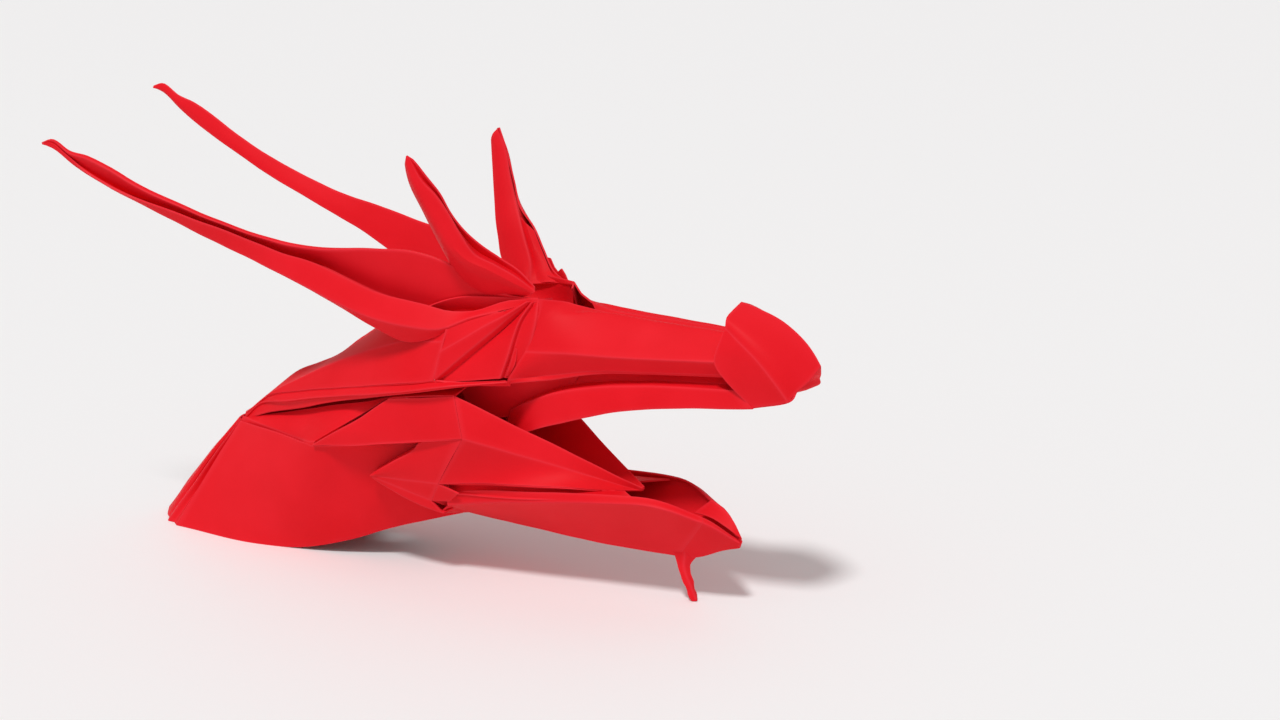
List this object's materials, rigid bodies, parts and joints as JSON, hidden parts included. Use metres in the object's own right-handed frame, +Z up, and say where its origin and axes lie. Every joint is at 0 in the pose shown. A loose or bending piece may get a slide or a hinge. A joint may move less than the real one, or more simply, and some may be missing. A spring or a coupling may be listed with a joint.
{
  "type": "origami dragon head",
  "caption": "Dragon head folded from one square of red paper, with long swept horns, pricked ears, pleated cheeks and an open mouth. It stands on its neck as an ornament.",
  "frame": {"origin": "middle of the head's plan, on the table under the neck flaps and the tip of the beard", "axes": "+X towards the nose, +Y towards the head's own left side, +Z up; y = 0 is the fold that halves the head"},
  "size_m": [0.1618, 0.0404, 0.0859],
  "materials": {
    "paper": "matte"
  },
  "bodies": {
    "root": {"folded_head": "paper"}
  },
  "joints": []
}
